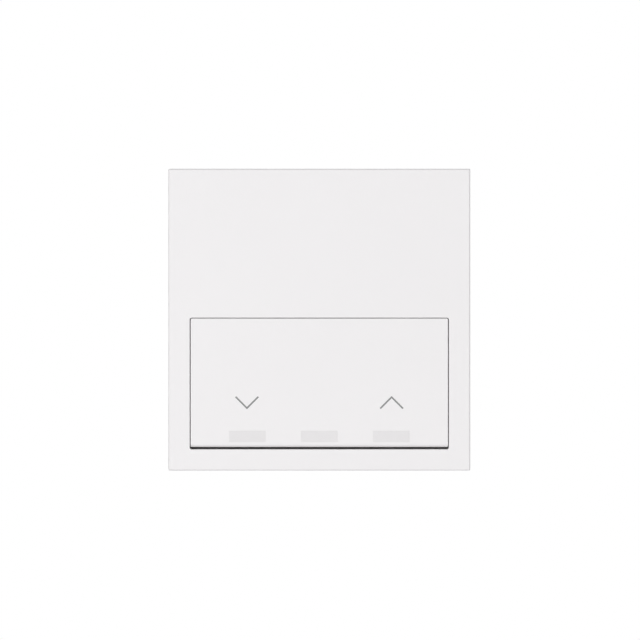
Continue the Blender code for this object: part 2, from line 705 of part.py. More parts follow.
def box_screw_places():
    """The screw slots as (x, z, upright): left, right, top, then bottom."""
    r = slot_centre
    return [(-r, 0.0, True), (r, 0.0, True), (0.0, r, False), (0.0, -r, False)]


# Control board

def control_board(material):
    outline = rounded_outline(board_width, board_top - board_bottom, BOARD_CORNER_RADIUS,
                              (0, (board_top + board_bottom) / 2))
    board = new_object("control_board", prism(outline, board_front, board_back), material)
    through = (board_front - OVERCUT, board_back + OVERCUT)
    slot = rectangle_outline(fork_slot_width, fork_span + 4 * SEAT_GAP, (0, pivot_zs[1]))
    holes = [rod((x, 0, z), STAKE_RADIUS + SEAT_GAP, *through) for x in (-stake_x, stake_x) for z in stake_zs]
    cut(board, gather(prism(slot, *through), *holes))
    return board


def switch_body(name, x, material):
    edge = SWITCH_SIDE - 2 * SWITCH_CHAMFER
    centre = (x, switch_z)
    sections = [(rectangle_outline(edge, edge, centre), switch_top),
                (rectangle_outline(SWITCH_SIDE, SWITCH_SIDE, centre), switch_top + SWITCH_CHAMFER),
                (rectangle_outline(SWITCH_SIDE, SWITCH_SIDE, centre), board_seat)]
    body = new_object(name, loft(sections), material)
    bore_depth = STEM_GUIDED + STEM_TRAVEL + SLIDE_GAP
    cut(body, rod((x, 0, switch_z), STEM_RADIUS + SLIDE_GAP, switch_top - OVERCUT, switch_top + bore_depth))
    return body


def switch_stem(name, x, material):
    crown = STEM_RADIUS / 4
    profile = [(0, stem_tip), (STEM_RADIUS - crown, stem_tip), (STEM_RADIUS, stem_tip + crown),
               (STEM_RADIUS, switch_top + STEM_GUIDED), (0, switch_top + STEM_GUIDED)]
    return new_object(name, turned(profile, (x, 0, switch_z)), material, (x, stem_tip, switch_z))


def led(name, x, material):
    """A surface-mounted lamp with a round dish in its face."""
    middle = (x, board_seat - LED_DEPTH / 2, window_z)
    lamp = new_object(name, box_at(middle, (LED_WIDTH, LED_DEPTH, LED_HEIGHT)), material)
    face = board_seat - LED_DEPTH
    dish = LED_HEIGHT * 0.4
    profile = [(0, face - OVERCUT), (dish, face - OVERCUT), (dish, face), (dish * 0.7, face + dish / 2),
               (0, face + dish / 2)]
    cut(lamp, turned(profile, (x, 0, window_z), steps=ROUND_STEPS // 2))
    return lamp


def controller_chip(material):
    centre = (chip_x, chip_z)
    top = board_seat - CHIP_HEIGHT
    waist = board_seat - CHIP_HEIGHT / 2
    shrink = CHIP_SIDE - CHIP_HEIGHT / 4
    sections = [(rectangle_outline(side, side, centre), y)
                for side, y in ((shrink, top), (CHIP_SIDE, waist), (shrink, board_seat))]
    return new_object("controller_chip", loft(sections), material)


def header_places():
    columns = [HEADER_PITCH * (i - (HEADER_COLUMNS - 1) / 2) for i in range(HEADER_COLUMNS)]
    rows = [header_z + HEADER_PITCH * (i - (HEADER_ROWS - 1) / 2) for i in range(HEADER_ROWS)]
    return [(x, z) for x in columns for z in rows]


def header_socket(material):
    outline = rectangle_outline(header_width, header_height, (0, header_z))
    socket = new_object("header_socket", prism(outline, board_back + SEAT_GAP, socket_back), material)
    hole = PIN_SIDE + 2 * SEAT_GAP
    holes = [prism(rectangle_outline(hole, hole, place), pins_tip - SEAT_GAP, socket_back + OVERCUT)
             for place in header_places()]
    cut(socket, gather(*holes))
    return socket


def header_pins(material):
    outline = rectangle_outline(header_width, header_height, (0, header_z))
    pins = new_object("header_pins", prism(outline, pins_base_front, pins_base_back), material)
    join(pins, gather(*[prism(rectangle_outline(PIN_SIDE, PIN_SIDE, place), pins_tip, pins_base_front + EMBED)
                        for place in header_places()]))
    return pins


# Support plate and insert

def support_plate(material):
    outline = rounded_outline(support_side, support_side, SUPPORT_CORNER_RADIUS)
    plate = new_object("support_plate", prism(outline, support_front, 0.0), material)
    seat_y = (support_front - SEAT_RISE, support_front + EMBED)
    seats = [prism(stadium_outline(SEAT_WIDTH, SEAT_LENGTH, (x, z), upright), *seat_y)
             for x, z, upright in box_screw_places()[:3]]
    join(plate, gather(*seats))

    through = (support_front - SEAT_RISE - OVERCUT, OVERCUT)
    slots = [prism(stadium_outline(SLOT_WIDTH, SLOT_LENGTH, (x, z), upright), *through)
             for x, z, upright in box_screw_places()]
    hook_depth = HOOK_THICKNESS + HOOK_BARB + 2 * SEAT_GAP
    hook_middle = hook_z + (HOOK_THICKNESS + HOOK_BARB) / 2
    hook_width = HOOK_WIDTH + 2 * SEAT_GAP
    hook_slots = [prism(rectangle_outline(hook_width, hook_depth, (sx * HOOK_X, sz * hook_middle)), *through)
                  for sx in (-1, 1) for sz in (-1, 1)]
    opening_side = lid_side + 2 * SUPPORT_OPENING_ROOM
    opening = prism(cut_corner_outline(opening_side, lid_cut + SUPPORT_OPENING_ROOM), *through)
    nail_xz = support_side / 2 - NAIL_HOLE_INSET
    nail_holes = [rod((sx * nail_xz, 0, sz * nail_xz), NAIL_HOLE_RADIUS, *through, steps=ROUND_STEPS // 2)
                  for sx in (-1, 1) for sz in (-1, 1)]
    cut(plate, opening, gather(*slots, *hook_slots, *nail_holes))

    shank = FIXING_RADIUS + SEAT_GAP
    head = FIXING_HEAD_RADIUS + SEAT_GAP
    slope = (head - shank) / FIXING_HEAD_HEIGHT
    profile = [(0, support_front - OVERCUT), (head + slope * OVERCUT, support_front - OVERCUT),
               (shank, support_front + FIXING_HEAD_HEIGHT), (shank, OVERCUT), (0, OVERCUT)]
    cut(plate, gather(*[turned(profile, (sx * fixing_xz, 0, sz * fixing_xz))
                        for sx, sz in fixing_signs.values()]))
    return plate


def fixing_screw(name, sx, sz, material):
    """A countersunk screw whose head lies flush in the support plate."""
    end = support_front + FIXING_LENGTH
    slope = (FIXING_HEAD_RADIUS - FIXING_RADIUS) / FIXING_HEAD_HEIGHT
    rim = FIXING_HEAD_RADIUS - slope * SEAT_GAP / 2
    neck = support_front + FIXING_HEAD_HEIGHT - SEAT_GAP / 2
    profile = [(0, support_front), (rim, support_front), (FIXING_RADIUS, neck),
               (FIXING_RADIUS, end - FIXING_RADIUS / 2), (FIXING_RADIUS / 2, end), (0, end)]
    centre = (sx * fixing_xz, 0, sz * fixing_xz)
    screw = new_object(name, turned(profile, centre), material)
    arm = FIXING_HEAD_RADIUS * 1.1
    for size in ((arm, DRIVE_WIDTH), (DRIVE_WIDTH, arm)):
        cut(screw, box_at((centre[0], support_front, centre[2]), (size[0], FIXING_HEAD_HEIGHT, size[1])))
    return screw


def insert_lid(material):
    lid = new_object("insert_lid", prism(cut_corner_outline(lid_side, lid_cut), support_front,
                                         lid_back + LID_SKIRT_DEPTH), material)
    inside = cut_corner_outline(lid_side - 2 * LID_SKIRT, lid_cut - LID_SKIRT / 2)
    cut(lid, prism(inside, lid_back, lid_back + LID_SKIRT_DEPTH + OVERCUT))
    window = rectangle_outline(header_width + 2 * SEAT_GAP, header_height + 2 * SEAT_GAP, (0, header_z))
    cut(lid, prism(window, support_front - OVERCUT, lid_back + OVERCUT))
    return lid


def insert_housing(material):
    flange_back = SEAT_GAP + FLANGE_DEPTH
    rear_side = body_side - 2 * HOUSING_DRAFT
    housing = new_object("insert_housing", loft([
        (cut_corner_outline(body_side, body_cut), flange_back - EMBED),
        (cut_corner_outline(rear_side, body_cut), HOUSING_DEPTH - HOUSING_REAR_CHAMFER),
        (cut_corner_outline(rear_side - 2 * HOUSING_REAR_CHAMFER, body_cut), HOUSING_DEPTH)]), material)
    join(housing, prism(cut_corner_outline(housing_side, FLANGE_CUT), SEAT_GAP, flange_back))
    cut(housing, loft([
        (cut_corner_outline(housing_inner, housing_inner_cut), SEAT_GAP - OVERCUT),
        (cut_corner_outline(housing_inner, housing_inner_cut), flange_back),
        (cut_corner_outline(housing_inner - 2 * HOUSING_DRAFT, housing_inner_cut), housing_inner_back)]))

    wall = housing_inner / 2
    ledge_z = (-HOUSING_LEDGE_LENGTH / 2, HOUSING_LEDGE_LENGTH / 2)
    ledge_y = (power_seat, power_seat + HOUSING_LEDGE)
    join(housing, gather(*[block((side * (wall - HOUSING_LEDGE), side * (wall + EMBED)), ledge_y, ledge_z)
                           for side in (-1, 1)]))

    bay_y = (housing_inner_back - PARTITION_DEPTH, housing_inner_back + EMBED)
    partitions = [block((x + (terminal_pitch - PARTITION) / 2, x + (terminal_pitch + PARTITION) / 2), bay_y,
                        (-wall - EMBED, bay_top)) for x in terminal_xs[:-1]]
    join(housing, gather(*partitions))
    join(housing, block((-terminal_row / 2, terminal_row / 2), bay_y, (bay_top, bay_top - PARTITION)))

    outside = -body_side / 2
    mouth = outside + HOUSING_DRAFT
    inside = outside + HOUSING_WALL + 2 * OVERCUT
    funnel = [(0, outside - OVERCUT), (FUNNEL_RADIUS + OVERCUT, outside - OVERCUT), (FUNNEL_RADIUS, mouth),
              (WIRE_RADIUS, mouth + HOUSING_WALL / 2), (WIRE_RADIUS, inside), (0, inside)]
    cut(housing, gather(*[turned(funnel, (x, terminal_y, 0), "Z") for x in terminal_xs]))
    cut(housing, gather(*[rod((x, 0, terminal_z), ACCESS_RADIUS, housing_inner_back - OVERCUT / 2,
                              HOUSING_DEPTH + OVERCUT) for x in terminal_xs]))
    screw_y = (SEAT_GAP - OVERCUT, flange_back + OVERCUT)
    cut(housing, gather(*[rod((sx * fixing_xz, 0, sz * fixing_xz), FIXING_RADIUS + SLIDE_GAP, *screw_y,
                              steps=ROUND_STEPS // 2) for sx, sz in fixing_signs.values()]))
    return housing


# Power board and its parts

def power_board(material):
    outline = cut_corner_outline(power_board_side, power_board_cut)
    return new_object("power_board", prism(outline, power_board_front, power_board_back), material)


def standing_box(name, x, z, size, material):
    width, depth, height = size
    return new_object(name, box_at((x, power_seat + depth / 2, z), (width, depth, height)), material)


def transformer(material):
    x, z = transformer_x, transformer_z
    core_width, core_depth, core_height = TRANSFORMER_CORE
    coil_width, coil_depth, coil_height = TRANSFORMER_COIL
    core_y = power_seat + coil_depth / 2
    made = new_object("transformer", box_at((x, core_y, z), (core_width, core_depth, core_height)), material)
    join(made, soft_coil(x, z, coil_width, coil_depth, coil_height))
    return made


def soft_coil(x, z, width, depth, height):
    outline = rounded_outline(width, height, height / 4, (x, z))
    return prism(outline, power_seat, power_seat + depth)


def electrolytic_capacitor(material):
    """A can with the rolled groove near its foot."""
    x, z = can_x, can_z
    foot = power_seat
    groove = CAN_RADIUS * 0.2
    top = foot + CAN_HEIGHT
    waist = CAN_RADIUS - groove / 2
    profile = [(0, foot), (CAN_RADIUS, foot), (CAN_RADIUS, foot + groove), (waist, foot + 1.5 * groove),
               (CAN_RADIUS, foot + 2 * groove), (CAN_RADIUS, top - groove / 2), (waist, top), (0, top)]
    return new_object("electrolytic_capacitor", turned(profile, (x, 0, z)), material)


def varistor(material):
    """A coated disc that stands on its edge."""
    half = VARISTOR_THICKNESS / 2
    rim = VARISTOR_RADIUS - half
    profile = [(0, -half), (rim, -half), (VARISTOR_RADIUS, 0), (rim, half), (0, half)]
    centre = (varistor_x, power_seat + VARISTOR_RADIUS, varistor_z)
    return new_object("varistor", turned(profile, centre, "Z"), material)


def fuse(material):
    half = FUSE_LENGTH / 2
    waist = FUSE_RADIUS * 0.88
    cap = FUSE_LENGTH / 5
    profile = [(0, -half), (FUSE_RADIUS, -half), (FUSE_RADIUS, cap - half), (waist, cap - half),
               (waist, half - cap), (FUSE_RADIUS, half - cap), (FUSE_RADIUS, half), (0, half)]
    return new_object("fuse", turned(profile, (fuse_x, power_seat + FUSE_RADIUS, fuse_z), "X"), material)


def terminal_cage(name, x, material):
    """A clamp body with a chamber for the wire, a threaded back and a tail to the board."""
    front = terminal_y - CAGE_DEPTH / 2
    back = terminal_y + CAGE_DEPTH / 2
    body = box_at((x, terminal_y, terminal_z), (cage_width, CAGE_DEPTH, CAGE_HEIGHT))
    cage = new_object(name, body, material)
    join(cage, box_at((x, (front + power_seat) / 2 + EMBED / 2, terminal_z),
                      (TAIL_WIDTH, front - power_seat + EMBED, TAIL_THICKNESS)))
    half_chamber = cage_width / 2 - CAGE_WALL
    half_height = CAGE_HEIGHT / 2 + OVERCUT
    cut(cage, block((x - half_chamber, x + half_chamber), (front + CAGE_WALL, back - 1.5 * CAGE_WALL),
                    (terminal_z - half_height, terminal_z + half_height)))
    cut(cage, rod((x, 0, terminal_z), CLAMP_RADIUS + SLIDE_GAP, back - 2 * CAGE_WALL, back + OVERCUT,
                  steps=ROUND_STEPS // 2))
    return cage


def terminal_screw(name, x, material):
    """A slotted clamp screw, driven from behind the insert."""
    seat = terminal_y + CAGE_DEPTH / 2 + SEAT_GAP
    top = seat + CLAMP_HEAD_HEIGHT
    tip = seat - CLAMP_LENGTH
    edge = CLAMP_HEAD_HEIGHT / 5
    shank = [(0, tip), (CLAMP_RADIUS - edge, tip), (CLAMP_RADIUS, tip + edge), (CLAMP_RADIUS, seat)]
    head = [(CLAMP_HEAD_RADIUS, seat), (CLAMP_HEAD_RADIUS, top - edge), (CLAMP_HEAD_RADIUS - edge, top)]
    screw = new_object(name, turned([*shank, *head, (0, top)], (x, 0, terminal_z)), material)
    half = CLAMP_HEAD_RADIUS + OVERCUT
    cut(screw, block((x - half, x + half), (top - DRIVE_DEPTH, top + OVERCUT),
                     (terminal_z - DRIVE_WIDTH / 2, terminal_z + DRIVE_WIDTH / 2)))
    return screw


def build():
    for old in list(bpy.data.objects):
        bpy.data.objects.remove(old)

    white = finish("white_polycarbonate", (0.86, 0.85, 0.86), 0.32)
    translucent = finish("frosted_polycarbonate", (0.79, 0.78, 0.78), 0.45)
    dark = finish("dark_polyamide", (0.035, 0.035, 0.038), 0.55)
    grey = finish("grey_polyamide", (0.42, 0.43, 0.44), 0.50)
    zinc = finish("zinc_plated_steel", (0.62, 0.63, 0.65), 0.34, 1.0)
    steel = finish("bright_steel", (0.70, 0.70, 0.70), 0.22, 1.0)
    brass = finish("brass", (0.75, 0.58, 0.28), 0.30, 1.0)
    laminate = finish("green_laminate", (0.03, 0.19, 0.08), 0.45)
    ivory = finish("ivory_plastic", (0.80, 0.78, 0.70), 0.40)
    blue = finish("blue_epoxy", (0.05, 0.17, 0.45), 0.40)
    yellow = finish("yellow_film", (0.83, 0.62, 0.08), 0.42)
    aluminium = finish("aluminium_can", (0.72, 0.72, 0.74), 0.30, 1.0)

    rocker_axis = bpy.data.objects.new("rocker_axis", None)
    rocker_axis.location = (0.0, pivot_y, key_middle)
    bpy.context.scene.collection.objects.link(rocker_axis)

    cover_plate(white)
    rocker_key(white, rocker_axis)
    for side, x in (("left", -window_x), ("centre", 0.0), ("right", window_x)):
        light_window(f"light_window_{side}", x, translucent, rocker_axis)
        led(f"led_{side}", x, ivory)
    carrier_frame(dark)
    for level, z in zip(("upper", "lower"), pivot_zs):
        pivot_pin(f"pivot_pin_{level}", z, steel)

    control_board(laminate)
    for way, x in (("down", -switch_x), ("up", switch_x)):
        switch_body(f"{way}_switch_body", x, dark)
        switch_stem(f"{way}_switch_stem", x, ivory)
    controller_chip(dark)
    header_socket(dark)
    header_pins(dark)

    support_plate(zinc)
    insert_lid(grey)
    insert_housing(grey)
    for place, (sx, sz) in fixing_signs.items():
        fixing_screw(f"housing_screw_{place}", sx, sz, steel)

    power_board(laminate)
    for way, x in zip(("down", "up"), relay_xs):
        standing_box(f"{way}_relay", x, relay_z, RELAY_SIZE, blue)
    standing_box("film_capacitor", film_x, film_z, FILM_SIZE, yellow)
    transformer(yellow)
    electrolytic_capacitor(aluminium)
    varistor(blue)
    fuse(ivory)
    for number, x in enumerate(terminal_xs, 1):
        terminal_cage(f"terminal_cage_{number}", x, brass)
        terminal_screw(f"terminal_screw_{number}", x, steel)


build()
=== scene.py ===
import json
import math

import bmesh
import bpy
from mathutils import Matrix, Vector
from mathutils.geometry import area_tri

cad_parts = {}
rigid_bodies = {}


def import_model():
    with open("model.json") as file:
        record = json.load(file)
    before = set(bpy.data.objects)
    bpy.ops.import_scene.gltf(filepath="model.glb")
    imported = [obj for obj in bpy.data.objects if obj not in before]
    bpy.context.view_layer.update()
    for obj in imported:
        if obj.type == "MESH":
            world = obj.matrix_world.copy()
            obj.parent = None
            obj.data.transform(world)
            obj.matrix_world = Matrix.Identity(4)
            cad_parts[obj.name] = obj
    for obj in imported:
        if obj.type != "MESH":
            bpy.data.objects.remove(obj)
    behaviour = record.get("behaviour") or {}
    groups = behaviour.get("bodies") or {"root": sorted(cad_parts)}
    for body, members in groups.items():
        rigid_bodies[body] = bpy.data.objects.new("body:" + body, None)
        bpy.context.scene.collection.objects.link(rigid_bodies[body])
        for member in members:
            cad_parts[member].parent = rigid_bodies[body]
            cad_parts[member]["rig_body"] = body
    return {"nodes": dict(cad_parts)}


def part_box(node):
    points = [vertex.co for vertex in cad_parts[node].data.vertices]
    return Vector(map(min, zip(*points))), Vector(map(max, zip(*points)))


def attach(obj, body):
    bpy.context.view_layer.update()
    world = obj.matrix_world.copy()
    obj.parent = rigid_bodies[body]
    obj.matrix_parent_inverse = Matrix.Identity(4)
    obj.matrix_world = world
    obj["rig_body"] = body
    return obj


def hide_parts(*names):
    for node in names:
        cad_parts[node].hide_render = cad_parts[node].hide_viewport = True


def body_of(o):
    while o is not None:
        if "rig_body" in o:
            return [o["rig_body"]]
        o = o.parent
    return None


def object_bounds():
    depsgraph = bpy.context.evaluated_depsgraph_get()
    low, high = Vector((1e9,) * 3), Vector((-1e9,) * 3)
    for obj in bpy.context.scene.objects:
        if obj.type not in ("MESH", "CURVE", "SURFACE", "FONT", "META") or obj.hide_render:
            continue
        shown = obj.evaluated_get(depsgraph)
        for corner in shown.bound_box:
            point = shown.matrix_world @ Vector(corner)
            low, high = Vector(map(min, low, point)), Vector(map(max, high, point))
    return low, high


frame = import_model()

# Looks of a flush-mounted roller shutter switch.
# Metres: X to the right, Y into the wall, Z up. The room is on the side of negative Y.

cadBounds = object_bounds()
nodes = frame["nodes"]
print("frame loaded:", len(nodes), "nodes")


# Helpers for materials

# #RRGGBB as a painter reads it, to the linear values that the shader wants, by the sRGB curve
def linear(hexCode):
    channels = [int(hexCode[i:i + 2], 16) / 255 for i in (1, 3, 5)]
    return (*[c / 12.92 if c <= 0.04045 else ((c + 0.055) / 1.055) ** 2.4 for c in channels], 1.0)


# settings and links go by an input's name or number. A colour mix has its inputs at 6 and 7 and its
# result at 2, and a mix of numbers has its inputs at 2 and 3
def addNode(tree, kind, settings=None, links=None):
    node = tree.nodes.new(kind)
    for key, value in (settings or {}).items():
        if isinstance(key, int) or key in node.inputs:
            node.inputs[key].default_value = value
        else:
            setattr(node, key, value)
    for key, socket in (links or {}).items():
        tree.links.new(socket, node.inputs[key])
    return node


# Object coordinates, stretched along an axis where the real surface has a direction
def placeOn(tree, stretch=(1.0, 1.0, 1.0)):
    place = addNode(tree, "ShaderNodeTexCoord").outputs["Object"]
    return addNode(tree, "ShaderNodeMapping", {"Scale": stretch}, {"Vector": place}).outputs["Vector"]


reliefDepth = 0.1   # how deep a grain is, as a share of its width


# Every finish starts here: slow clouds in the colour, a fine grain in the roughness and the relief.
# cloud and grain are the real sizes of those patterns in metres. A grain finer than 0.1 mm is drawn
# coarser, at 0.12 to 0.30 mm, so that it shows
def surface(name, look):
    material = bpy.data.materials.new(name)
    material.use_nodes = True
    tree = material.node_tree
    shader = tree.nodes["Principled BSDF"]
    place = placeOn(tree, look.get("stretch", (1.0, 1.0, 1.0)))
    clouds = addNode(tree, "ShaderNodeTexNoise", {"Scale": 1 / look["cloud"], "Detail": 4.0},
                     {"Vector": place}).outputs["Fac"]
    colour = addNode(tree, "ShaderNodeMix",
                     {"data_type": "RGBA", 6: linear(look["colour"]), 7: linear(look["shade"])}, {0: clouds})
    tree.links.new(colour.outputs[2], shader.inputs["Base Color"])
    grain = addNode(tree, "ShaderNodeTexNoise", {"Scale": 1 / look["grain"], "Detail": 2.0},
                    {"Vector": place}).outputs["Fac"]
    low, high = look["roughness"]
    roughness = addNode(tree, "ShaderNodeMapRange", {"To Min": low, "To Max": high}, {"Value": grain})
    tree.links.new(roughness.outputs["Result"], shader.inputs["Roughness"])
    relief = addNode(tree, "ShaderNodeBump",
                     {"Strength": look["relief"], "Distance": look["grain"] * reliefDepth},
                     {"Height": grain})
    tree.links.new(relief.outputs["Normal"], shader.inputs["Normal"])
    for socket, value in look.get("fixed", {}).items():
        shader.inputs[socket].default_value = value
    return material


# Another colour over a surface, where a pattern says. factor is that pattern's socket
def overlay(material, factor, hexCode):
    tree = material.node_tree
    shader = tree.nodes["Principled BSDF"]
    under = shader.inputs["Base Color"].links[0].from_socket
    colour = addNode(tree, "ShaderNodeMix", {"data_type": "RGBA", 7: linear(hexCode)}, {0: factor, 6: under})
    tree.links.new(colour.outputs[2], shader.inputs["Base Color"])


# Plastics

# Polycarbonate, injection moulded in a spark-eroded tool: white through and through, satin, with a
# grain that one sees only in the sheen. The true grain is 0.03 mm, drawn coarser so that it shows
whitePolycarbonate = surface("whitePolycarbonate", {
    "colour": "#F1EFF0", "shade": "#EFEDEE", "cloud": 0.028, "grain": 0.00030,
    "roughness": (0.38, 0.46), "relief": 0.10, "fixed": {"IOR": 1.585}})

# Milky polycarbonate of the light windows: a shade darker than the key because light goes in
# and little comes back, and a flatter sheen than the key's
milkyPolycarbonate = surface("milkyPolycarbonate", {
    "colour": "#EBE9EA", "shade": "#E9E7E8", "cloud": 0.004, "grain": 0.00025,
    "roughness": (0.50, 0.58), "relief": 0.12,
    "fixed": {"IOR": 1.585, "Subsurface Weight": 0.15, "Subsurface Radius": (0.0008, 0.0008, 0.0008)}})


fibreCrests = {"From Min": 0.56, "From Max": 0.70, "To Max": 0.5}   # only the tops of the noise are fibres


# Glass-filled polyamide: dull, with pale fibre streaks along the melt's flow in the top skin
def filledPolyamide(name, look):
    material = surface(name, look)
    tree = material.node_tree
    streaks = addNode(tree, "ShaderNodeTexNoise", {"Scale": 1 / look["fibre"], "Detail": 3.0},
                      {"Vector": placeOn(tree, look["flow"])})
    fibres = addNode(tree, "ShaderNodeMapRange", fibreCrests, {"Value": streaks.outputs["Fac"]})
    overlay(material, fibres.outputs["Result"], look["fibreColour"])
    return material


darkPolyamide = filledPolyamide("darkPolyamide", {
    "colour": "#2B2C2E", "shade": "#343538", "cloud": 0.007, "grain": 0.00025,
    "roughness": (0.46, 0.62), "relief": 0.30, "fixed": {"IOR": 1.53},
    "fibre": 0.0006, "flow": (0.25, 1.0, 1.0), "fibreColour": "#47494C"})
greyPolyamide = filledPolyamide("greyPolyamide", {
    "colour": "#9FA2A4", "shade": "#95989B", "cloud": 0.010, "grain": 0.00028,
    "roughness": (0.40, 0.56), "relief": 0.30, "fixed": {"IOR": 1.53},
    "fibre": 0.0005, "flow": (1.0, 0.22, 0.35), "fibreColour": "#ABAEB0"})

# Ivory polybutylene terephthalate of the stems and lamps: smooth and slightly waxy
ivoryPolyester = surface("ivoryPolyester", {
    "colour": "#E8E4D5", "shade": "#DFDAC8", "cloud": 0.002, "grain": 0.00020,
    "roughness": (0.30, 0.42), "relief": 0.10, "fixed": {"IOR": 1.57}})

# Black moulding compound of the chip: matt from fine sand-like filler
mouldingCompound = surface("mouldingCompound", {
    "colour": "#1E1F20", "shade": "#28292A", "cloud": 0.001, "grain": 0.00012,
    "roughness": (0.62, 0.80), "relief": 0.40, "fixed": {"IOR": 1.55}})

# Blue polybutylene terephthalate of the relay caps: glossier than the housing, its colour barely uneven
bluePolyester = surface("bluePolyester", {
    "colour": "#1F58B0", "shade": "#1A4C9C", "cloud": 0.006, "grain": 0.00030,
    "roughness": (0.22, 0.34), "relief": 0.12, "fixed": {"IOR": 1.55}})

# Dipped epoxy of the varistor: glossy, thick and thin in slow waves
dippedEpoxy = surface("dippedEpoxy", {
    "colour": "#2B6CC4", "shade": "#1C4F9A", "cloud": 0.003, "grain": 0.0009,
    "roughness": (0.12, 0.24), "relief": 0.35, "fixed": {"IOR": 1.56, "Coat Weight": 0.3}})


wavePeriod = 0.314   # metres from crest to crest in a wave pattern of scale 1
turnEdges = {"From Min": 0.90, "From Max": 1.0, "To Max": 0.6}   # the crests are the edges of the turns


# Polyester tape wound round the transformer: smooth film, darker along the edge of each turn
def woundTape(name, look):
    material = surface(name, look)
    tree = material.node_tree
    turns = addNode(tree, "ShaderNodeTexWave",
                    {"Scale": wavePeriod / look["turn"], "Distortion": look["waver"],
                     "bands_direction": "Y"}, {"Vector": placeOn(tree)})
    edges = addNode(tree, "ShaderNodeMapRange", turnEdges, {"Value": turns.outputs["Fac"]})
    overlay(material, edges.outputs["Result"], look["turnColour"])
    return material


# Yellow polybutylene terephthalate of the film capacitor's box: moulded, a little duller than the tape
yellowPolyester = surface("yellowPolyester", {
    "colour": "#E9BC34", "shade": "#DFAE28", "cloud": 0.005, "grain": 0.00030,
    "roughness": (0.28, 0.40), "relief": 0.12, "fixed": {"IOR": 1.50}})
polyesterTape = woundTape("polyesterTape", {
    "colour": "#E5B32E", "shade": "#D8A21F", "cloud": 0.003, "grain": 0.00040,
    "roughness": (0.16, 0.30), "relief": 0.20, "fixed": {"IOR": 1.64},
    "turn": 0.0022, "waver": 0.4, "turnColour": "#A87A14"})


# Solder resist over glass cloth laminate: the cloth's squares show faintly, and the green is lighter
# where copper tracks run below it. A board falls into fields, and the tracks of one field run one way
def coatedLaminate(name, look):
    material = surface(name, look)
    tree = material.node_tree
    place = placeOn(tree)
    threads = [addNode(tree, "ShaderNodeTexWave",
                       {"Scale": wavePeriod / look["cloth"], "bands_direction": axis},
                       {"Vector": place}).outputs["Fac"] for axis in "XZ"]
    cloth = addNode(tree, "ShaderNodeMath", {"operation": "MULTIPLY"}, {0: threads[0], 1: threads[1]})
    faint = addNode(tree, "ShaderNodeMapRange", {"To Max": look["clothShare"]}, {"Value": cloth.outputs[0]})
    overlay(material, faint.outputs["Result"], look["clothColour"])
    tracks = []
    for axis in "XZ":
        wave = addNode(tree, "ShaderNodeTexWave",
                       {"Scale": wavePeriod / look["track"], "bands_direction": axis}, {"Vector": place})
        track = addNode(tree, "ShaderNodeMath", {"operation": "GREATER_THAN", 1: look["trackLevel"]},
                        {0: wave.outputs["Fac"]})
        tracks.append(track.outputs[0])
    fields = addNode(tree, "ShaderNodeTexVoronoi", {"Scale": 1 / look["field"], "distance": "CHEBYCHEV"},
                     {"Vector": place})
    chance = addNode(tree, "ShaderNodeSeparateColor", links={"Color": fields.outputs["Color"]})
    turned = addNode(tree, "ShaderNodeMath", {"operation": "GREATER_THAN", 1: look["straight"]},
                     {0: chance.outputs["Red"]})
    busy = addNode(tree, "ShaderNodeMath", {"operation": "GREATER_THAN", 1: look["bare"]},
                   {0: chance.outputs["Green"]})
    choice = addNode(tree, "ShaderNodeMix", {"data_type": "FLOAT"},
                     {0: turned.outputs[0], 2: tracks[0], 3: tracks[1]})
    copper = addNode(tree, "ShaderNodeMath", {"operation": "MULTIPLY"},
                     {0: choice.outputs[0], 1: busy.outputs[0]})
    overlay(material, copper.outputs[0], look["copperColour"])
    return material


# A track is where its wave rises above trackLevel. straight and bare are shares of the fields
solderResist = coatedLaminate("solderResist", {
    "colour": "#175C34", "shade": "#134E2B", "cloud": 0.006, "grain": 0.0005,
    "roughness": (0.26, 0.38), "relief": 0.12, "fixed": {"IOR": 1.52},
    "cloth": 0.0008, "clothColour": "#1E6B3E", "clothShare": 0.35, "field": 0.009, "track": 0.0013,
    "trackLevel": 0.62, "straight": 0.5, "bare": 0.45, "copperColour": "#2E8A53"})
print("plastics mixed")


# Metals

strawCrests = {"From Min": 0.50, "From Max": 0.72, "To Max": 0.55}   # the upper half of the noise is straw


# Steel strip with bright zinc: fine rolling lines along X, and the bluish and straw tints that
# passivation leaves in clouds
def passivatedZinc(name, look):
    material = surface(name, look)
    tree = material.node_tree
    tint = addNode(tree, "ShaderNodeTexNoise", {"Scale": 1 / look["tintCloud"], "Detail": 2.0},
                   {"Vector": placeOn(tree)})
    straw = addNode(tree, "ShaderNodeMapRange", strawCrests, {"Value": tint.outputs["Fac"]})
    overlay(material, straw.outputs["Result"], look["tintColour"])
    return material


zincPlatedSteel = passivatedZinc("zincPlatedSteel", {
    "colour": "#C6CBD2", "shade": "#B4BAC4", "cloud": 0.0020, "grain": 0.00030, "stretch": (0.06, 1.0, 1.0),
    "roughness": (0.24, 0.42), "relief": 0.25, "fixed": {"Metallic": 1.0},
    "tintCloud": 0.014, "tintColour": "#CFC9B8"})

# Turned and slotted steel, zinc plated. Its colour is lighter in streaks along the tool marks, a painted
# highlight in place of the light that the crests catch
machinedSteel = surface("machinedSteel", {
    "colour": "#D2D4D6", "shade": "#BFC2C6", "cloud": 0.0010, "grain": 0.00016, "stretch": (1.0, 3.0, 1.0),
    "roughness": (0.18, 0.34), "relief": 0.30, "fixed": {"Metallic": 1.0}})

# Brass from bent strip: warm, with dull patches where it was pickled
pickledBrass = surface("pickledBrass", {
    "colour": "#DDB768", "shade": "#BF9446", "cloud": 0.0016, "grain": 0.00022,
    "roughness": (0.24, 0.42), "relief": 0.22, "fixed": {"Metallic": 1.0}})

# Deep-drawn aluminium can: vertical drawing lines
drawnAluminium = surface("drawnAluminium", {
    "colour": "#DCDDE0", "shade": "#CBCDD1", "cloud": 0.0016, "grain": 0.00025, "stretch": (1.0, 0.08, 1.0),
    "roughness": (0.20, 0.34), "relief": 0.20, "fixed": {"Metallic": 1.0}})
print("metals mixed")


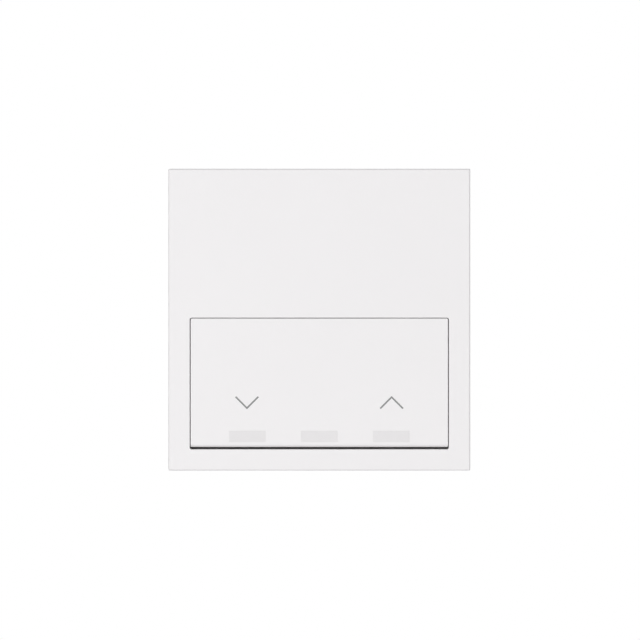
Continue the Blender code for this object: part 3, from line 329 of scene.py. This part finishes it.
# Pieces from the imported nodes

# The real pieces have no knife edges. Each copy has its doubles merged and its flat faces joined, and
# then its outer edges get the small radius that the mould, the die or the plating leaves
rounding = {
    "double": 1e-6,                    # corners nearer than this are merged before the rounding
    "speck": 1e-5,                     # and nearer than this after it
    "flatAngle": math.radians(0.4),    # faces that differ by less are one flat
    "outerAngle": math.radians(50),    # an outer edge sharper than this is rounded
    "segments": 2,
    "creaseAngle": math.radians(48),   # an edge that is sharper in the end keeps a crease in the shading
    "frontBand": 0.0001,               # what lies this near the foremost point is on the front face
    "overlap": 1e-6,                   # square metres, and a face that covers more than this twice is folded
    "sameWay": 0.99999}                # the least cosine between the normals of one flat


# Each ring of connected edges is rounded by itself, so a short edge in one doesn't hold back the rest
def connectedRings(edges):
    left = dict.fromkeys(edges)   # in order, so that every run rounds them alike
    rings = []
    while left:
        ring = [left.popitem()[0]]
        for edge in ring:
            for other in [near for vert in edge.verts for near in vert.link_edges if near in left]:
                del left[other]
                ring.append(other)
        rings.append(ring)
    return rings


def roundedPiece(pieceName, node, finish):
    shape = bmesh.new()
    shape.from_mesh(nodes[node].data)
    bmesh.ops.remove_doubles(shape, verts=shape.verts[:], dist=rounding["double"])
    bmesh.ops.dissolve_limit(shape, angle_limit=rounding["flatAngle"], verts=shape.verts[:],
                             edges=shape.edges[:])
    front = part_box(node)[0].y + rounding["frontBand"]
    outer = [e for e in shape.edges if e.is_convex and e.calc_face_angle(0) > rounding["outerAngle"]]
    for ring in connectedRings(outer):
        inFront = all(v.co.y < front for e in ring for v in e.verts)
        shortest = min(e.calc_length() for e in ring)
        if shortest < finish.get("shortest", 0) or (inFront and finish.get("crispFront")):
            continue
        bmesh.ops.bevel(shape, geom=ring, offset=finish["edge"], offset_type="OFFSET",
                        segments=rounding["segments"], profile=0.5, affect="EDGES", clamp_overlap=True,
                        material=-1)
    bmesh.ops.remove_doubles(shape, verts=shape.verts[:], dist=rounding["speck"])
    refillFolded(shape)
    if "swell" in finish:
        swellFront(shape, front, finish["swell"])
    if "rim" in finish:
        rounderRim(shape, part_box(node), finish["rim"])
    for face in shape.faces:
        face.smooth = True
    for e in shape.edges:
        e.smooth = e.calc_face_angle(0) < rounding["creaseAngle"]
    return addPiece(pieceName, shape, finish["material"], body_of(nodes[node])[0], finish["slot"], node)


# Rounding can fold a flat face that has holes in it, and then its triangles cover a hole. Such a flat
# is filled again from its outline
def refillFolded(shape):
    covered = {}
    for corners in shape.calc_loop_triangles():
        face = corners[0].face
        covered[face] = covered.get(face, 0) + area_tri(*[corner.vert.co for corner in corners])
    folded = [face for face in shape.faces if covered[face] > face.calc_area() + rounding["overlap"]]
    while folded:
        flat = [folded.pop()]
        for face in flat:
            for edge in face.edges:
                flat += [other for other in edge.link_faces
                         if other not in flat and face.normal.dot(other.normal) > rounding["sameWay"]]
        folded = [face for face in folded if face not in flat]
        normal = flat[0].normal.copy()
        edges = list(dict.fromkeys(edge for face in flat for edge in face.edges))
        outline = [edge for edge in edges if sum(face in flat for face in edge.link_faces) == 1]
        bmesh.ops.delete(shape, geom=flat, context="FACES_ONLY")
        bmesh.ops.delete(shape, geom=[edge for edge in edges if edge not in outline], context="EDGES")
        bmesh.ops.triangle_fill(shape, edges=outline, use_beauty=True, normal=normal)
        bmesh.ops.recalc_face_normals(shape, faces=shape.faces[:])


# The windows are a second shot in the key's mould, so at the front they fill their openings
def swellFront(shape, front, reach):
    face = [v for v in shape.verts if v.co.y < front]
    middle = sum((v.co for v in face), Vector()) / len(face)
    for v in face:
        v.co += Vector((math.copysign(reach, v.co.x - middle.x), 0, math.copysign(reach, v.co.z - middle.z)))


# The plate's rim is rounder than its solid's: each ring of the round is drawn in and back by one factor.
# solid and drawn are the two radii, and the round lies within two of the first from the plate's side
def rounderRim(shape, box, rim):
    front, half = box[0].y, box[1].x
    factor = rim["drawn"] / rim["solid"]
    for v in shape.verts:
        depth = max(v.co.y - front, 0)
        side = max(abs(v.co.x), abs(v.co.z))
        if depth < rim["solid"] - rounding["double"] and side > half - 2 * rim["solid"]:
            inset = rim["solid"] * (1 - math.sqrt(1 - (1 - depth / rim["solid"]) ** 2))
            drawnIn = (half - inset * factor) / (half - inset)
            v.co = (v.co.x * drawnIn, front + depth * factor, v.co.z * drawnIn)


def addPiece(pieceName, shape, material, body, slotName, *stoodFor):
    mesh = bpy.data.meshes.new(pieceName)
    shape.to_mesh(mesh)
    shape.free()
    mesh.materials.append(material)
    piece = bpy.data.objects.new(pieceName, mesh)
    bpy.context.scene.collection.objects.link(piece)
    evenShading = piece.modifiers.new("evenShading", "WEIGHTED_NORMAL")   # flat faces stay flat in the light
    evenShading.keep_sharp = True
    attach(piece, body)
    if stoodFor:
        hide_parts(*stoodFor)
    return piece


# Pieces of one finish, and the radius of their edges. crispFront leaves the edges on the front face as
# they are, and a ring with an edge under shortest stays as it is too
finishes = [
    {"material": whitePolycarbonate, "slot": "white", "edge": 0.00020, "crispFront": True,
     "rim": {"solid": 0.00030, "drawn": 0.00045}, "nodes": ["cover_plate"]},
    {"material": whitePolycarbonate, "slot": "white", "edge": 0.00020, "crispFront": True,
     "nodes": ["rocker_key"]},
    {"material": milkyPolycarbonate, "slot": "window", "edge": 0.00005, "crispFront": True, "swell": 0.00005,
     "nodes": ["light_window_left", "light_window_centre", "light_window_right"]},
    {"material": darkPolyamide, "slot": "dark", "edge": 0.00025,
     "nodes": ["carrier_frame", "down_switch_body", "up_switch_body"]},
    {"material": darkPolyamide, "slot": "dark", "edge": 0.00010, "nodes": ["header_socket", "header_pins"]},
    {"material": mouldingCompound, "slot": "dark", "edge": 0.00006, "nodes": ["controller_chip"]},
    {"material": greyPolyamide, "slot": "grey", "edge": 0.00018, "shortest": 0.0002,
     "nodes": ["insert_lid", "insert_housing"]},
    {"material": zincPlatedSteel, "slot": "zinc", "edge": 0.00018, "nodes": ["support_plate"]},
    {"material": machinedSteel, "slot": "steel", "edge": 0.00008,
     "nodes": ["pivot_pin_upper", "pivot_pin_lower", *[n for n in nodes if "_screw_" in n]]},
    {"material": pickledBrass, "slot": "brass", "edge": 0.00015,
     "nodes": [n for n in nodes if n.startswith("terminal_cage")]},
    {"material": solderResist, "slot": "laminate", "edge": 0.00008,
     "nodes": ["control_board", "power_board"]},
    {"material": ivoryPolyester, "slot": "ivory", "edge": 0.00012,
     "nodes": ["down_switch_stem", "up_switch_stem", "led_left", "led_centre", "led_right", "fuse"]},
    {"material": bluePolyester, "slot": "blue", "edge": 0.00040, "nodes": ["down_relay", "up_relay"]},
    {"material": dippedEpoxy, "slot": "blue", "edge": 0.00050, "nodes": ["varistor"]},
    {"material": yellowPolyester, "slot": "yellow", "edge": 0.00030, "nodes": ["film_capacitor"]},
    {"material": polyesterTape, "slot": "yellow", "edge": 0.00030, "nodes": ["transformer"]},
    {"material": drawnAluminium, "slot": "can", "edge": 0.00020, "nodes": ["electrolytic_capacitor"]},
]

for finish in finishes:
    for node in finish["nodes"]:
        roundedPiece(node + "_finished", node, finish)
print("pieces rounded:", sum(len(finish["nodes"]) for finish in finishes))


# Chevrons

# x and the apexes are places on the key, arm and stroke the sizes of a bar, and proud is how thick the
# ink is. Corners nearer than double are merged where the two arms meet
chevron = {"x": 0.02157, "apexDown": -0.02636, "apexUp": -0.02309, "arm": 0.00480, "stroke": 0.00048,
           "proud": 0.00002, "double": 1e-7}

# Pad-printed grey ink, thinner than a hair: matt against the satin key
printInk = surface("printInk", {
    "colour": "#848585", "shade": "#8B8C8C", "cloud": 0.001, "grain": 0.00020,
    "roughness": (0.50, 0.62), "relief": 0.05, "fixed": {"IOR": 1.50}})


# A bar cut at the middle and mirrored gives the two arms. It points down, and half a turn makes it point up
def chevronShape(x, apex, pointsUp):
    shape = bmesh.new()
    bmesh.ops.create_cube(shape, size=1.0)
    bmesh.ops.scale(shape, verts=shape.verts[:],
                    vec=(2 * chevron["arm"], 2 * chevron["proud"], chevron["stroke"]))
    bmesh.ops.rotate(shape, verts=shape.verts[:], matrix=Matrix.Rotation(-math.pi / 4, 3, "Y"))
    bmesh.ops.bisect_plane(shape, geom=shape.verts[:] + shape.edges[:] + shape.faces[:], plane_no=(1, 0, 0),
                           clear_inner=True)
    bmesh.ops.mirror(shape, geom=shape.verts[:] + shape.edges[:] + shape.faces[:], axis="X",
                     merge_dist=chevron["double"])
    if pointsUp:
        bmesh.ops.rotate(shape, verts=shape.verts[:], matrix=Matrix.Rotation(math.pi, 3, "Y"))
    bmesh.ops.translate(shape, verts=shape.verts[:], vec=(x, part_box("rocker_key")[0].y, apex))
    bmesh.ops.recalc_face_normals(shape, faces=shape.faces[:])
    return shape


addPiece("down_chevron", chevronShape(-chevron["x"], chevron["apexDown"], False), printInk, "rocker", "dark")
addPiece("up_chevron", chevronShape(chevron["x"], chevron["apexUp"], True), printInk, "rocker", "dark")
print("chevrons printed")


# Studio

# field is the width that the camera sees at the plate's front, and offset how far it stands to the
# right and up. surround is the strength of the room's soft light
studio = {"lens": 200.0, "field": 0.1908, "offset": (0.00021, -0.00009), "surround": 0.17}

# Two broad lamps in front, and two weaker ones for the back and the top. Those two would burn out the
# zinc, so gloss doesn't show them
lamps = [
    {"name": "frontLeft", "spot": (-2.3, -7.4, 0.60), "width": 2.6, "watts": 280.0, "inGloss": True},
    {"name": "frontRight", "spot": (1.6, -7.4, 0.30), "width": 2.6, "watts": 91.0, "inGloss": True},
    {"name": "back", "spot": (0.8, 3.3, 1.0), "width": 2.6, "watts": 84.0, "inGloss": False},
    {"name": "top", "spot": (0.2, 1.9, 2.9), "width": 2.0, "watts": 22.0, "inGloss": False},
]


# high where camera, glossy or transmission rays look, and low for the light that falls on the switch,
# so that the background is white and yet lights it only softly
def whiteShare(tree, low, high):
    rays = addNode(tree, "ShaderNodeLightPath")
    seen = rays.outputs["Is Camera Ray"]
    for other in ("Is Glossy Ray", "Is Transmission Ray"):
        either = addNode(tree, "ShaderNodeMath", {"operation": "MAXIMUM"}, {0: seen, 1: rays.outputs[other]})
        seen = either.outputs[0]
    share = addNode(tree, "ShaderNodeMapRange", {"To Min": low, "To Max": high}, {"Value": seen})
    return share.outputs["Result"]


world = bpy.data.worlds.new("paleRoom")
bpy.context.scene.world = world
world.use_nodes = True
worldTree = world.node_tree
background = worldTree.nodes["Background"]
background.inputs["Color"].default_value = (1.0, 1.0, 1.0, 1.0)
worldTree.links.new(whiteShare(worldTree, studio["surround"], 1.0), background.inputs["Strength"])

# Photo paper: matt, with a faint tooth. A share of it is plain white to the camera, and the rest keeps
# the shadow. drop is how far its surface lies below the switch's middle
floorLook = {"drop": 0.25, "side": 3.2, "thick": 0.01, "white": 0.55}
paper = surface("photoPaper", {
    "colour": "#F6F6F6", "shade": "#F3F3F3", "cloud": 0.05, "grain": 0.0010,
    "roughness": (0.80, 0.92), "relief": 0.05})
paperTree = paper.node_tree
paperWhite = addNode(paperTree, "ShaderNodeEmission", {"Color": (1.0, 1.0, 1.0, 1.0), "Strength": 1.0})
paperMix = addNode(paperTree, "ShaderNodeMixShader", links={
    0: whiteShare(paperTree, 0.0, floorLook["white"]), 1: paperTree.nodes["Principled BSDF"].outputs[0],
    2: paperWhite.outputs[0]})
paperTree.links.new(paperMix.outputs[0], paperTree.nodes["Material Output"].inputs["Surface"])

floorShape = bmesh.new()
bmesh.ops.create_cube(floorShape, size=1.0)
bmesh.ops.scale(floorShape, verts=floorShape.verts[:],
                vec=(floorLook["side"], floorLook["side"], floorLook["thick"]))
bmesh.ops.translate(floorShape, verts=floorShape.verts[:],
                    vec=(0, 0, -floorLook["drop"] - floorLook["thick"] / 2))
floorMesh = bpy.data.meshes.new("floor")
floorShape.to_mesh(floorMesh)
floorShape.free()
floorMesh.materials.append(paper)
floor = bpy.data.objects.new("floor", floorMesh)
bpy.context.scene.collection.objects.link(floor)

for lamp in lamps:
    softbox = bpy.data.lights.new(lamp["name"] + "Softbox", "AREA")
    softbox.size = lamp["width"]
    softbox.energy = lamp["watts"]
    lampObject = bpy.data.objects.new(lamp["name"] + "Lamp", softbox)
    lampObject.location = lamp["spot"]
    lampObject.rotation_euler = (-Vector(lamp["spot"])).to_track_quat("-Z", "Y").to_euler()
    lampObject.visible_camera = False
    lampObject.visible_glossy = lamp["inGloss"]
    bpy.context.scene.collection.objects.link(lampObject)

camera = bpy.data.cameras.new("camera")
camera.lens = studio["lens"]
distance = studio["field"] * studio["lens"] / camera.sensor_width
cameraObject = bpy.data.objects.new("camera", camera)
cameraObject.location = (studio["offset"][0], cadBounds[0][1] - distance, studio["offset"][1])
cameraObject.rotation_euler = (math.pi / 2, 0, 0)
bpy.context.scene.collection.objects.link(cameraObject)
bpy.context.scene.camera = cameraObject
bpy.context.scene.view_settings.view_transform = "Standard"
print("studio set")
